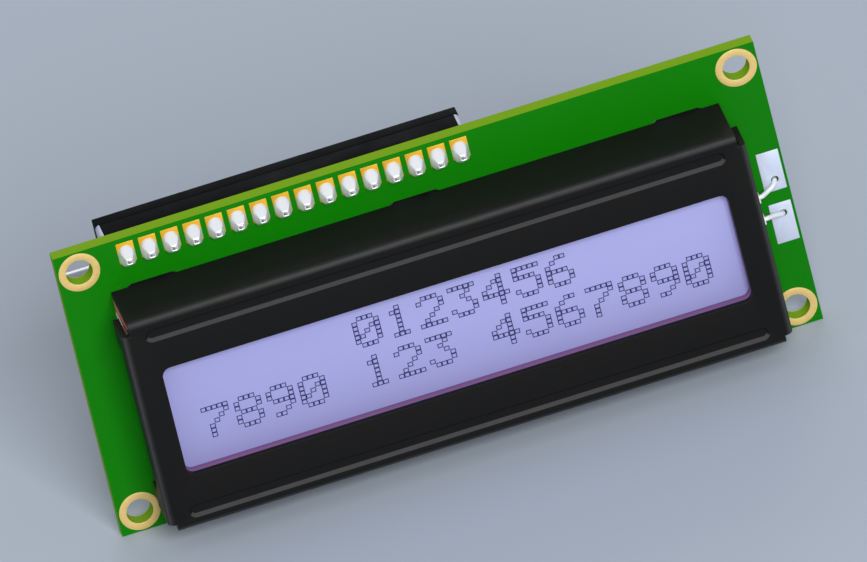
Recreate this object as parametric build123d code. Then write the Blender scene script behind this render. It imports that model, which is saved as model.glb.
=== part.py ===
from build123d import *
from math import atan2, cos, degrees, pi
import os

os.makedirs("parts", exist_ok=True)

# Character display module with two rows of sixteen characters, on an 80 by 36 board.
# Stood upright, X runs to the right, Z up, and the display faces -Y. The origin is the
# centre of the board's front face, which is also the centre of its four mounting holes.
# Every piece is drawn lying down, with x and y across the board's front face and z towards
# the reader, and stand_up() turns it upright. All sizes are in millimetres.

# Circuit board and its mounting holes
board_length = 80.0
board_height = 36.0
board_thickness = 1.6
mount_from_edge = 2.5
mount_hole_diameter = 3.0
ring_diameter = 4.65
pad_thickness = 0.08
small_round_sides = 8

# Sixteen contacts in a row along the upper edge
pin_count = 16
pin_pitch = 2.54
first_pin_from_edge = 8.0
pin_row_from_edge = 2.25
pin_hole_diameter = 0.9
pin_pad_width = 1.95
pin_pad_upper_reach = 1.7
pin_pad_lower_reach = 1.35
pin_pad_corner = 0.57
tail_width = 0.5
tail_clearance = 0.02
solder_foot_width = 1.93
solder_foot_length = 2.66
solder_foot_corner = 0.57
solder_tip_width = 0.8
solder_height = 1.55

# Socket strip behind the board
socket_end_reach = 1.7
socket_width = 2.54
socket_shift = -0.35
socket_standoff = 1.4
socket_base_depth = 2.75
socket_cover_depth = 1.68
socket_end_cap = 0.5
socket_foot_length = 0.5
socket_foot_width = 1.6
socket_floor = 0.4
socket_tail_hole = 0.6
socket_mouth_width = 0.8
socket_mouth_flare = 0.3
contact_cavity_width = 1.5
contact_shoulder_thickness = 0.4
contact_leaf_thickness = 0.2
contact_leaf_width = 0.8
contact_leaf_gap = 0.6
contact_end_gap = 0.2

# Folded sheet bezel
bezel_from_ends = 4.35
bezel_from_top = 6.1
bezel_from_bottom = 3.0
bezel_depth = 8.0
sheet = 0.7
inside_bend_radius = 0.13
long_flap_setback = 0.95
side_flap_setback = 1.1
side_flap_gap = 5.2
ear_gap = 2.9
ear_length = 3.2
window_side_border = 3.35
window_upper_border = 6.55
window_radius = 1.0
groove_from_ends = 2.5
groove_width = 1.6
groove_depth = 0.35
groove_from_edge = 2.1
end_tab_from_end = 5.65
tab_width = 3.6
tab_reach = 2.2
tab_twist = 34.0
tab_sections = 4
slot_length = 5.7
slot_outer_gap = 0.25
slot_inner_gap = 0.05

# Display cell, from the front to the back
gasket_thickness = 1.0
gasket_border = 1.5
polarizer_thickness = 0.2
polarizer_overlap = 0.2
glass_thickness = 1.1
cell_gap = 0.1
glass_end_gap = 0.35
seal_border = 1.2
seal_inset = 0.3

# Elastomer strips between the board and the upper and lower edges of the front glass
strip_width = 1.8
strip_lip = 0.5
strip_clearance = 0.1

# Backlight
case_wall = 1.2
case_floor = 0.5
case_end_gap = 0.2
reflector_thickness = 0.2
diffuser_thickness = 0.3
diffuser_inset = 0.3
guide_clearance = 0.1
led_strip_thickness = 0.6
led_strip_length = 14.0
led_count = 3
led_pitch = 4.2
led_size = 0.8
led_width = 2.2
led_height = 1.6

# Backlight leads, from the case's right end to two large pads
lead_diameter = 0.5
lead_bore_clearance = 0.05
lead_z = 1.5
lead_spacing = 2.76
lead_boss_width = 0.95
lead_boss_reach = 1.6
lead_straight = 0.25
lead_hole_from_edge = 1.38
lead_hole_spacing = 4.34
lead_hole_diameter = 0.9
lead_bend_radius = 1.1
lead_turn_radius = 1.0
lead_solder_diameter = 1.8
lead_solder_height = 0.6
lead_pad_from_edge = 1.55
lead_pad_width = 2.5
lead_pad_height = 4.98
lead_pad_spacing = 6.58

# Controller and driver chips under round resin blobs on the board's back
blob_upper_gap = 2.975
blob_lower_gap = 0.55
blob_height = 1.7
blob_shoulder_diameter = 10.0
blob_shoulder_height = 1.15
blob_crown_diameter = 4.0
blob_sides = 24
blob_x = 13.5
die_length = 4.6
die_width = 3.4
die_thickness = 0.45

# Chip resistors and capacitors on the board's back
chip_length = 2.0
chip_end_length = 0.35
resistor_width = 1.25
resistor_height = 0.5
resistor_count = 7
resistor_pitch = 3.4
resistor_row_from_top = 9.4
capacitor_width = 1.3
capacitor_height = 0.95
capacitor_count = 3
capacitor_pitch = 13.5
capacitor_row_from_bottom = 6.8

# Crystal can behind the upper left mounting hole
can_diameter = 3.1
can_length = 5.6
can_edge_chamfer = 0.35
can_from_edge = 0.3
can_from_top = 5.6
can_plug_inset = 0.25
can_plug_length = 0.7
can_lead_width = 0.35
can_lead_spacing = 1.2
can_lead_run = 0.35
can_lead_hole_diameter = 0.6

# Places worked out from the sizes
board_right = board_length / 2
board_top = board_height / 2
back_z = -board_thickness
back_pad_z = back_z - pad_thickness
mount_x = board_right - mount_from_edge
mount_y = board_top - mount_from_edge
mount_places = [(side * mount_x, level * mount_y) for side in (-1, 1) for level in (-1, 1)]
first_pin_x = first_pin_from_edge - board_right
pin_row_y = board_top - pin_row_from_edge
pin_row_length = pin_pitch * (pin_count - 1)
pin_row_centre_x = first_pin_x + pin_row_length / 2
pin_places = [(first_pin_x + pin_pitch * i, pin_row_y) for i in range(pin_count)]

bezel_length = board_length - 2 * bezel_from_ends
bezel_height = board_height - bezel_from_top - bezel_from_bottom
bezel_centre_y = (bezel_from_bottom - bezel_from_top) / 2
window_length = bezel_length - 2 * window_side_border
window_height = bezel_height - 2 * window_upper_border
groove_length = bezel_length - 2 * groove_from_ends
groove_from_centre = bezel_height / 2 - groove_from_edge
tab_pitch = bezel_length / 2 - end_tab_from_end

roof_z = bezel_depth - sheet
front_polarizer_z = roof_z - gasket_thickness - polarizer_thickness
front_glass_z = front_polarizer_z - glass_thickness
rear_glass_z = front_glass_z - cell_gap - glass_thickness
rear_polarizer_z = rear_glass_z - polarizer_thickness
diffuser_z = rear_polarizer_z - diffuser_thickness
guide_z = case_floor + reflector_thickness

inner_length = bezel_length - 2 * sheet
inner_height = bezel_height - 2 * sheet
flap_y = bezel_height / 2 - sheet / 2
glass_length = inner_length - 2 * glass_end_gap
front_glass_height = inner_height - 2 * (strip_lip + strip_clearance)
rear_glass_height = inner_height - 2 * (strip_width + strip_clearance)
case_length = inner_length - 2 * case_end_gap
case_height = inner_height - 2 * (strip_width + strip_clearance)
pocket_length = case_length - 2 * case_wall
pocket_height = case_height - 2 * case_wall
gasket_length = window_length + 2 * gasket_border
gasket_height = window_height + 2 * gasket_border
polarizer_length = gasket_length + 2 * polarizer_overlap
polarizer_height = gasket_height + 2 * polarizer_overlap

socket_length = pin_row_length + 2 * socket_end_reach
socket_centre_x = pin_row_centre_x + socket_shift
socket_base_z = back_z - socket_standoff
socket_cover_z = socket_base_z - socket_base_depth

led_strip_x = pocket_length / 2 - led_strip_thickness
led_face_x = led_strip_x - led_size
lead_boss_x = case_length / 2 + lead_boss_reach

lead_hole_x = board_right - lead_hole_from_edge
lead_pad_x = board_right - lead_pad_from_edge

resistor_row_y = board_top - resistor_row_from_top
capacitor_row_y = capacitor_row_from_bottom - board_top
blob_top = resistor_row_y - resistor_width / 2 - blob_upper_gap
blob_bottom = capacitor_row_y + capacitor_width / 2 + blob_lower_gap
blob_diameter = blob_top - blob_bottom
blob_y = (blob_top + blob_bottom) / 2

can_left_x = can_from_edge - board_right
can_y = board_top - can_from_top
can_z = back_z - can_diameter / 2
can_right_x = can_left_x + can_length
can_lead_x = can_right_x + can_lead_run

slot_width = sheet + slot_outer_gap + slot_inner_gap
slot_reach = flap_y + (slot_outer_gap - slot_inner_gap) / 2
tab_places = [
    (tab_pitch * column, bezel_centre_y + side * flap_y) for column in (-1, 0, 1) for side in (-1, 1)
]
slot_places = [
    (tab_pitch * column, bezel_centre_y + side * slot_reach) for column in (-1, 0, 1) for side in (-1, 1)
]
lead_holes = [(lead_hole_x, bezel_centre_y + side * lead_hole_spacing / 2) for side in (-1, 1)]
can_lead_holes = [(can_lead_x, can_y + side * can_lead_spacing / 2) for side in (-1, 1)]


def plate(length, height, bottom_z, thickness, centre_y=bezel_centre_y):
    """A flat plate centred on x = 0, standing from bottom_z towards the reader."""
    block = Box(length, height, thickness, align=(Align.CENTER, Align.CENTER, Align.MIN))
    return Pos(0, centre_y, bottom_z) * block


def small_round(diameter):
    """Outline of a small round hole, wire or joint, drawn as a polygon of that diameter."""
    return RegularPolygon(diameter / 2, small_round_sides)


def mound(foot_diameter, tip_diameter, height, sides=small_round_sides):
    """A mound with flat sides that stands on z = 0 and narrows evenly from foot to tip."""
    foot = RegularPolygon(foot_diameter / 2, sides)
    slope = degrees(atan2((foot_diameter - tip_diameter) / 2 * cos(pi / sides), height))
    return extrude(foot, height, taper=slope)


def circuit_board():
    """The drilled and slotted board, cut from one outline."""
    outline = Rectangle(board_length, board_height)
    outline -= [Pos(x, y) * Circle(mount_hole_diameter / 2) for x, y in mount_places]
    outline -= [Pos(x, y) * small_round(pin_hole_diameter) for x, y in pin_places]
    outline -= [Pos(x, y) * SlotOverall(slot_length, slot_width) for x, y in slot_places]
    outline -= [Pos(x, y) * small_round(lead_hole_diameter) for x, y in lead_holes]
    outline -= [Pos(x, y) * small_round(can_lead_hole_diameter) for x, y in can_lead_holes]
    return extrude(outline, -board_thickness)


def rings(bottom_z):
    """Copper rings round the four mounting holes, on one face of the board."""
    ring = Circle(ring_diameter / 2) - Circle(mount_hole_diameter / 2)
    return [Pos(x, y, bottom_z) * extrude(ring, pad_thickness) for x, y in mount_places]


def pin_pads(bottom_z):
    """Oblong gold pads round the sixteen contact tails, on one face of the board."""
    tail_hole = tail_width + 2 * tail_clearance
    pad_length = pin_pad_upper_reach + pin_pad_lower_reach
    pad_shift = (pin_pad_upper_reach - pin_pad_lower_reach) / 2
    outline = Pos(0, pad_shift) * Rectangle(pin_pad_width, pad_length)
    outline = chamfer(outline.vertices().group_by(Axis.Y)[0], pin_pad_corner)
    pad = outline - Rectangle(tail_hole, tail_hole)
    return [Pos(x, y, bottom_z) * extrude(pad, pad_thickness) for x, y in pin_places]


def solder_joints():
    """Solder that rises round each tail from an oblong foot on the pad to a small square tip."""
    foot = chamfer(Rectangle(solder_foot_width, solder_foot_length).vertices(), solder_foot_corner)
    rise = solder_height - pad_thickness
    slope = degrees(atan2((solder_foot_width - solder_tip_width) / 2, rise))
    half_foot = solder_foot_length / 2
    half_tip = solder_tip_width / 2
    side = Polygon((-half_foot, 0), (half_foot, 0), (half_tip, rise), (-half_tip, rise), align=None)
    joint = extrude(foot, rise, taper=slope) & extrude(Plane.YZ * side, solder_foot_width, both=True)
    tail_hole = tail_width + 2 * tail_clearance
    joint -= Box(tail_hole, tail_hole, 2 * solder_height)
    return [Pos(x, y, pad_thickness) * joint for x, y in pin_places]


def socket_contacts():
    """Square tail, shoulder under the socket's floor and two leaves that grip a plug's pin."""
    shoulder_z = socket_base_z - socket_floor - contact_shoulder_thickness
    leaf_length = shoulder_z - socket_cover_z - contact_end_gap
    tail = Box(
        tail_width,
        tail_width,
        solder_height - socket_base_z + socket_floor,
        align=(Align.CENTER, Align.CENTER, Align.MIN),
    )
    shoulder = Box(
        contact_leaf_gap + 2 * contact_leaf_thickness,
        contact_leaf_width,
        contact_shoulder_thickness,
        align=(Align.CENTER, Align.CENTER, Align.MIN),
    )
    leaf = Box(
        contact_leaf_thickness,
        contact_leaf_width,
        leaf_length,
        align=(Align.CENTER, Align.CENTER, Align.MAX),
    )
    leaf_x = (contact_leaf_gap + contact_leaf_thickness) / 2
    contact = Pos(0, 0, socket_base_z - socket_floor) * tail + Pos(0, 0, shoulder_z) * shoulder
    contact += [Pos(side * leaf_x, 0, shoulder_z) * leaf for side in (-1, 1)]
    return [Pos(x, y, 0) * contact for x, y in pin_places]


def socket_base():
    """Inner half of the socket: a floor with tail holes, a cavity for each contact, and feet."""
    outline = Pos(socket_centre_x, pin_row_y) * Rectangle(
        socket_length - 2 * socket_end_cap, socket_width
    )
    cavities = [Pos(x, y) * Rectangle(contact_cavity_width, contact_cavity_width) for x, y in pin_places]
    tail_holes = [Pos(x, y) * Rectangle(socket_tail_hole, socket_tail_hole) for x, y in pin_places]
    floor = extrude(outline - tail_holes, -socket_floor)
    walls = Pos(0, 0, -socket_floor) * extrude(outline - cavities, socket_floor - socket_base_depth)
    foot = Box(
        socket_foot_length,
        socket_foot_width,
        socket_standoff,
        align=(Align.CENTER, Align.CENTER, Align.MIN),
    )
    gaps = (1, pin_count // 2, pin_count - 1)
    feet = [Pos(first_pin_x + pin_pitch * (n - 0.5), pin_row_y, 0) * foot for n in gaps]
    return Pos(0, 0, socket_base_z) * (floor + walls + feet)


def socket_end_caps():
    """Pale caps with rounded outer corners that close the two ends of the socket's base."""
    caps = []
    for side in (-1, 1):
        outline = Rectangle(socket_end_cap, socket_width)
        outer = outline.vertices().group_by(Axis.X)[0 if side < 0 else -1]
        outline = fillet(outer, socket_end_cap * 0.9)
        cap_x = socket_centre_x + side * (socket_length - socket_end_cap) / 2
        caps.append(Pos(cap_x, pin_row_y, socket_base_z) * extrude(outline, -socket_base_depth))
    return caps


def socket_cover():
    """Outer half of the socket, with a flared square mouth over each contact."""
    outline = Pos(socket_centre_x, pin_row_y) * Rectangle(socket_length, socket_width)
    mouths = [Pos(x, y) * Rectangle(socket_mouth_width, socket_mouth_width) for x, y in pin_places]
    cover = extrude(outline - mouths, -socket_cover_depth)
    flare_width = socket_mouth_width + 2 * socket_mouth_flare
    flare = extrude(Rectangle(flare_width, flare_width), socket_mouth_flare, taper=45)
    cover -= [Pos(x, y, -socket_cover_depth) * flare for x, y in pin_places]
    return Pos(0, 0, socket_cover_z) * cover


def channel(width, drop, length):
    """A folded channel along X, open below, with its roof's outer face at z = 0."""
    outer = Rectangle(width, drop, align=(Align.CENTER, Align.MAX))
    outer = fillet(outer.vertices().group_by(Axis.Y)[-1], inside_bend_radius + sheet)
    inner = Rectangle(width - 2 * sheet, drop - sheet, align=(Align.CENTER, Align.MAX))
    inner = fillet(inner.vertices().group_by(Axis.Y)[-1], inside_bend_radius)
    profile = outer - Pos(0, -sheet) * inner
    return extrude(Plane.YZ * profile, length / 2, both=True)


def locking_tab():
    """A tab that drops through its slot and is twisted behind the board to hold the bezel."""
    strip = Rectangle(tab_width, sheet)
    tab = extrude(strip, -board_thickness)
    sections = []
    for step in range(tab_sections):
        share = step / (tab_sections - 1)
        turned = Rot(0, 0, tab_twist * share) * strip
        sections.append(Pos(0, 0, back_z - tab_reach * share) * turned)
    return tab + loft(sections)


def bezel():
    """Black sheet frame: two long flaps down to the board, two short ones with ears, a window,
    two pressed grooves and six twisted tabs."""
    side_width = bezel_height - 2 * side_flap_setback
    long_part = channel(bezel_height, bezel_depth, bezel_length - 2 * long_flap_setback)
    side_part = Rot(0, 0, 90) * channel(bezel_length, bezel_depth - ear_gap, side_width)
    side_part -= Pos(0, 0, side_flap_gap - bezel_depth) * Box(
        bezel_length + sheet,
        side_width - 2 * ear_length,
        side_flap_gap,
        align=(Align.CENTER, Align.CENTER, Align.MAX),
    )
    frame = long_part + side_part

    window = RectangleRounded(window_length, window_height, window_radius)
    frame -= extrude(window, -2 * sheet)

    for side in (-1, 1):
        ridge_outline = SlotOverall(groove_length, groove_width)
        groove_y = side * groove_from_centre
        ridge = Pos(0, groove_y, -sheet) * extrude(ridge_outline, -groove_depth, taper=30)
        groove = Pos(0, groove_y, 0) * extrude(ridge_outline, -groove_depth, taper=45)
        frame = frame + ridge - groove

    frame = Pos(0, bezel_centre_y, bezel_depth) * frame
    frame += [Pos(x, y, 0) * locking_tab() for x, y in tab_places]
    return frame


def gasket():
    """Mauve spacer frame that lines the window between the bezel and the glass."""
    border = Rectangle(gasket_length, gasket_height)
    border -= RectangleRounded(window_length, window_height, window_radius)
    return Pos(0, bezel_centre_y, roof_z - gasket_thickness) * extrude(border, gasket_thickness)


def perimeter_seal():
    """Epoxy frame between the two glass plates."""
    border = Rectangle(glass_length - 2 * seal_inset, rear_glass_height - 2 * seal_inset)
    border -= Rectangle(
        glass_length - 2 * seal_inset - 2 * seal_border,
        rear_glass_height - 2 * seal_inset - 2 * seal_border,
    )
    return Pos(0, bezel_centre_y, front_glass_z - cell_gap) * extrude(border, cell_gap)


def liquid_crystal():
    """The thin layer that fills the sealed space."""
    length = glass_length - 2 * seal_inset - 2 * seal_border
    height = rear_glass_height - 2 * seal_inset - 2 * seal_border
    return plate(length, height, front_glass_z - cell_gap, cell_gap)


def elastomer_strip(side):
    """Elastomer strip that carries the signals from the board up to one edge of the front glass,
    with a lip outside the glass."""
    run = inner_length - 2 * strip_clearance
    outer_y = side * inner_height / 2
    body = Box(run, strip_width, front_glass_z, align=(Align.CENTER, Align.CENTER, Align.MIN))
    lip_height = roof_z - groove_depth - strip_clearance - front_glass_z
    lip = Box(run, strip_lip, lip_height, align=(Align.CENTER, Align.CENTER, Align.MIN))
    strip = Pos(0, outer_y - side * strip_width / 2, 0) * body
    strip += Pos(0, outer_y - side * strip_lip / 2, front_glass_z) * lip
    return Pos(0, bezel_centre_y, 0) * strip


def lead_path(side):
    """Route of one backlight lead: out of its boss, across to its pad and into its hole."""
    start_y = bezel_centre_y + side * lead_spacing / 2
    end_y = bezel_centre_y + side * lead_hole_spacing / 2
    points = [
        (pocket_length / 2, start_y, lead_z),
        (lead_boss_x + lead_straight, start_y, lead_z),
        (lead_hole_x, end_y, lead_z),
        (lead_hole_x, end_y, back_z),
    ]
    return FilletPolyline(*points, radius=[lead_turn_radius, lead_bend_radius])


def lead(side):
    """One tinned lead of the backlight."""
    path = lead_path(side)
    section = small_round(lead_diameter)
    return sweep(Plane(path @ 0, z_dir=path % 0) * section, path=path)


def backlight_case():
    """White tray round the light guide, with a bored boss for each lead at its right end."""
    tray = plate(case_length, case_height, 0, diffuser_z)
    tray -= plate(pocket_length, pocket_height, case_floor, diffuser_z)
    boss = Box(
        lead_boss_reach,
        lead_boss_width,
        lead_boss_width,
        align=(Align.MIN, Align.CENTER, Align.CENTER),
    )
    bore_length = 2 * (lead_boss_reach + case_wall)
    bore_section = small_round(lead_diameter + 2 * lead_bore_clearance)
    bore = extrude(Plane.YZ * bore_section, bore_length / 2, both=True)
    for side in (-1, 1):
        boss_y = bezel_centre_y + side * lead_spacing / 2
        tray += Pos(case_length / 2, boss_y, lead_z) * boss
        tray -= Pos(case_length / 2 + (lead_boss_reach - case_wall) / 2, boss_y, lead_z) * bore
    return tray


def light_guide():
    """Clear block between the reflector and the diffuser, lit from its right end."""
    left = guide_clearance - pocket_length / 2
    block = Box(
        led_face_x - guide_clearance - left,
        pocket_height - 2 * guide_clearance,
        diffuser_z - guide_z,
        align=(Align.MIN, Align.CENTER, Align.MIN),
    )
    return Pos(left, bezel_centre_y, guide_z) * block


def led_strip():
    """Narrow upright board that carries the light emitting chips."""
    strip = Box(
        led_strip_thickness,
        led_strip_length,
        diffuser_z - guide_z - guide_clearance,
        align=(Align.MIN, Align.CENTER, Align.MIN),
    )
    return Pos(led_strip_x, bezel_centre_y, guide_z) * strip


def leds():
    """Light emitting chips that face the end of the light guide."""
    centre_z = (guide_z + diffuser_z) / 2
    chip = Box(led_size, led_width, led_height, align=(Align.MAX, Align.CENTER, Align.CENTER))
    chips = []
    for i in range(led_count):
        chip_y = bezel_centre_y + led_pitch * (i - (led_count - 1) / 2)
        chips.append(Pos(led_strip_x, chip_y, centre_z) * chip)
    return chips


def lead_pads():
    """Two large tinned pads at the right edge of the board."""
    pads = []
    for side in (-1, 1):
        pad_y = bezel_centre_y + side * lead_pad_spacing / 2
        hole_y = bezel_centre_y + side * lead_hole_spacing / 2
        outline = Pos(lead_pad_x, pad_y) * Rectangle(lead_pad_width, lead_pad_height)
        outline -= Pos(lead_hole_x, hole_y) * small_round(lead_hole_diameter)
        pads.append(extrude(outline, pad_thickness))
    return pads


def lead_solder():
    """Solder mounds that close the two lead holes on the board's back."""
    solder = mound(lead_solder_diameter, lead_diameter, lead_solder_height)
    return [Pos(x, y, back_z) * Rot(180, 0, 0) * solder for x, y in lead_holes]


def die():
    """Bare silicon chip bonded to the board."""
    return Box(die_length, die_width, die_thickness, align=(Align.CENTER, Align.CENTER, Align.MAX))


def blob():
    """Low resin dome over a die, in two slopes, with its foot on the board's back."""
    skirt = mound(blob_diameter, blob_shoulder_diameter, blob_shoulder_height, blob_sides)
    crown = mound(
        blob_shoulder_diameter, blob_crown_diameter, blob_height - blob_shoulder_height, blob_sides
    )
    dome = skirt + Pos(0, 0, blob_shoulder_height) * crown
    return Rot(180, 0, 0) * dome - die()


def chips(count, pitch, row_y, width, height):
    """Bodies and metal ends of one row of chip resistors or capacitors on the board's back."""
    bodies = []
    ends = []
    body_length = chip_length - 2 * chip_end_length
    body = Box(body_length, width, height, align=(Align.CENTER, Align.CENTER, Align.MAX))
    end = Box(chip_end_length, width, height, align=(Align.CENTER, Align.CENTER, Align.MAX))
    for i in range(count):
        x = pitch * (i - (count - 1) / 2)
        bodies.append(Pos(x, row_y, back_z) * body)
        for side in (-1, 1):
            end_x = x + side * (chip_length - chip_end_length) / 2
            ends.append(Pos(end_x, row_y, back_z) * end)
    return bodies, ends


def crystal_can():
    """Drawn metal can lying on the board's back, with a chamfered closed end."""
    can = Rot(0, 90, 0) * Cylinder(
        can_diameter / 2, can_length, align=(Align.CENTER, Align.CENTER, Align.MIN)
    )
    can = chamfer(can.edges().group_by(Axis.X)[0], can_edge_chamfer)
    plug_hole = Rot(0, 90, 0) * Cylinder(
        can_diameter / 2 - can_plug_inset,
        can_plug_length,
        align=(Align.CENTER, Align.CENTER, Align.MAX),
    )
    return Pos(can_left_x, can_y, can_z) * (can - Pos(can_length, 0, 0) * plug_hole)


def crystal_plug():
    """Glass plug in the can's open end, with two square lead holes."""
    plug = Rot(0, 90, 0) * Cylinder(
        can_diameter / 2 - can_plug_inset,
        can_plug_length,
        align=(Align.CENTER, Align.CENTER, Align.MAX),
    )
    hole = Box(2 * can_plug_length, can_lead_width, can_lead_width)
    plug -= [Pos(0, side * can_lead_spacing / 2, 0) * hole for side in (-1, 1)]
    return Pos(can_right_x, can_y, can_z) * plug


def crystal_lead(side):
    """Square lead from the can's plug, bent once into its hole in the board."""
    start_x = can_right_x - can_plug_length
    end_x = can_lead_x + can_lead_width / 2
    run = Box(
        end_x - start_x, can_lead_width, can_lead_width, align=(Align.MIN, Align.CENTER, Align.CENTER)
    )
    drop = Box(
        can_lead_width, can_lead_width, -can_z, align=(Align.MAX, Align.CENTER, Align.MIN)
    )
    shape = Pos(start_x, 0, can_z) * run + Pos(end_x, 0, can_z) * drop
    outer_bend = shape.edges().filter_by(Axis.Y).sort_by_distance((end_x, 0, can_z - can_lead_width / 2))[0]
    shape = fillet(outer_bend, can_lead_width * 0.8)
    return Pos(0, can_y + side * can_lead_spacing / 2, 0) * shape


def stand_up(shape):
    """Turn what was drawn lying down so that the display faces -Y."""
    return Rot(90, 0, 0) * shape


resistor_bodies, resistor_ends = chips(
    resistor_count, resistor_pitch, resistor_row_y, resistor_width, resistor_height
)
capacitor_bodies, capacitor_ends = chips(
    capacitor_count, capacitor_pitch, capacitor_row_y, capacitor_width, capacitor_height
)

nodes = {
    "circuit_board": circuit_board(),
    "mounting_rings_front": rings(0),
    "mounting_rings_back": rings(back_pad_z),
    "pin_pads_front": pin_pads(0),
    "pin_pads_back": pin_pads(back_pad_z),
    "solder_joints": solder_joints(),
    "socket_contacts": socket_contacts(),
    "socket_base": socket_base(),
    "socket_cover": socket_cover(),
    "socket_end_caps": socket_end_caps(),
    "bezel": bezel(),
    "window_gasket": gasket(),
    "front_polarizer": plate(
        polarizer_length, polarizer_height, front_polarizer_z, polarizer_thickness
    ),
    "front_glass": plate(glass_length, front_glass_height, front_glass_z, glass_thickness),
    "perimeter_seal": perimeter_seal(),
    "liquid_crystal": liquid_crystal(),
    "rear_glass": plate(glass_length, rear_glass_height, rear_glass_z, glass_thickness),
    "rear_polarizer": plate(
        polarizer_length, polarizer_height, rear_polarizer_z, polarizer_thickness
    ),
    "upper_elastomer_strip": elastomer_strip(1),
    "lower_elastomer_strip": elastomer_strip(-1),
    "diffuser_film": plate(
        case_length - 2 * diffuser_inset,
        case_height - 2 * diffuser_inset,
        diffuser_z,
        diffuser_thickness,
    ),
    "light_guide": light_guide(),
    "reflector_sheet": plate(pocket_length, pocket_height, case_floor, reflector_thickness),
    "backlight_case": backlight_case(),
    "led_strip": led_strip(),
    "backlight_leds": leds(),
    "upper_backlight_lead": lead(1),
    "lower_backlight_lead": lead(-1),
    "backlight_lead_pads": lead_pads(),
    "backlight_lead_solder": lead_solder(),
    "controller_die": Pos(-blob_x, blob_y, back_z) * die(),
    "driver_die": Pos(blob_x, blob_y, back_z) * die(),
    "controller_blob": Pos(-blob_x, blob_y, back_z) * blob(),
    "driver_blob": Pos(blob_x, blob_y, back_z) * blob(),
    "resistor_bodies": resistor_bodies,
    "resistor_ends": resistor_ends,
    "capacitor_bodies": capacitor_bodies,
    "capacitor_ends": capacitor_ends,
    "crystal_can": crystal_can(),
    "crystal_plug": crystal_plug(),
    "crystal_leads": [crystal_lead(side) for side in (-1, 1)],
}

for name, shape in nodes.items():
    if isinstance(shape, list):
        upright = Compound(children=[stand_up(piece) for piece in shape])
    else:
        upright = stand_up(shape)
    export_step(upright, f"parts/{name}.step")
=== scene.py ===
import math
import random

import bmesh
import bpy
from bpy.props import FloatProperty, FloatVectorProperty, IntProperty
from bpy.props import PointerProperty, StringProperty
from mathutils import Matrix, Vector


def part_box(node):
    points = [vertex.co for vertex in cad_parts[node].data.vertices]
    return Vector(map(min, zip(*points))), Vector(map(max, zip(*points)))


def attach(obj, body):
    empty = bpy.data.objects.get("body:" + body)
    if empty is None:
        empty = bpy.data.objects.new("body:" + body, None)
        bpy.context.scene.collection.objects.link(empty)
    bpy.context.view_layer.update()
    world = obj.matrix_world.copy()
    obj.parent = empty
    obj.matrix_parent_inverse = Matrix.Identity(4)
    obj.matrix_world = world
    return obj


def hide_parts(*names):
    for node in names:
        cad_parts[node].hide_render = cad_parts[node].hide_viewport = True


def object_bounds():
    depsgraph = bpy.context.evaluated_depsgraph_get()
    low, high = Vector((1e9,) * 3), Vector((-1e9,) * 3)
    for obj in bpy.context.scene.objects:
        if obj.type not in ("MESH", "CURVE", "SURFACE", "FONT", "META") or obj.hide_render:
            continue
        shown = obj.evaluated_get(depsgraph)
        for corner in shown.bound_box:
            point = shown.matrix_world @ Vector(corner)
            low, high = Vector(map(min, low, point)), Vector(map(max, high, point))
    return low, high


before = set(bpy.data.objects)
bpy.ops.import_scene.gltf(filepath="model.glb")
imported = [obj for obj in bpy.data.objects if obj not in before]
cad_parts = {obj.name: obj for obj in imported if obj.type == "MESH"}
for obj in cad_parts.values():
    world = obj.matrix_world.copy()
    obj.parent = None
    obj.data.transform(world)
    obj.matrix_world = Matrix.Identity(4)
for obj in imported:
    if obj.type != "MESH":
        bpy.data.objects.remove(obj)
cad_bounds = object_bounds()

bl_info = {
    "name": "Character display module",
    "version": (1, 0, 0),
    "blender": (4, 5, 0),
    "location": "View3D > Sidebar > Display module",
    "description": "Finishes and fine pieces of a two row character display module",
    "category": "Object",
}

# Lengths in this file are in millimetres on the module as it lies face up: x to the right, y up
# the board and z towards the reader, with z = 0 on the board's front face. place() turns such a
# point into the upright frame, in metres. The stage is laid out in metres.

MM = 0.001

# The camera's two directions and the picture's middle, in mm to the right and up
CAMERA_RIGHT = Vector((0.9512, -0.2263, -0.2121))
CAMERA_UP = Vector((0.2958, 0.4623, 0.8359))
PICTURE_MIDDLE = (-0.478, 0.89)
CAMERA_DISTANCE = 0.5
FLOOR_HALF = 3.0

# The depth of the grain's bumps and the reach within which points are joined, in metres
GRAIN_DEPTH = 0.00002
WELD = 0.000001
# Edges with a sharper turn than this get rounded
ROUNDED_ABOVE = math.radians(28)
DUST_COLOUR = (0.55, 0.53, 0.5)

# A rectangle's corners, each to the right or left and above or below its middle
CORNERS = ((-1, -1), (1, -1), (1, 1), (-1, 1))

# Five by seven dots for each figure, from the top row down
FIGURES = {
    "0": "01110 10001 10011 10101 11001 10001 01110",
    "1": "00100 01100 00100 00100 00100 00100 01110",
    "2": "01110 10001 00001 00010 00100 01000 11111",
    "3": "11111 00010 00100 00010 00001 10001 01110",
    "4": "00010 00110 01010 10010 11111 00010 00010",
    "5": "11111 10000 11110 00001 00001 10001 01110",
    "6": "00110 01000 10000 11110 10001 10001 01110",
    "7": "11111 00001 00010 00100 01000 01000 01000",
    "8": "01110 10001 10001 01110 10001 10001 01110",
    "9": "01110 10001 10001 01111 00001 00010 01100",
}

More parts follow.
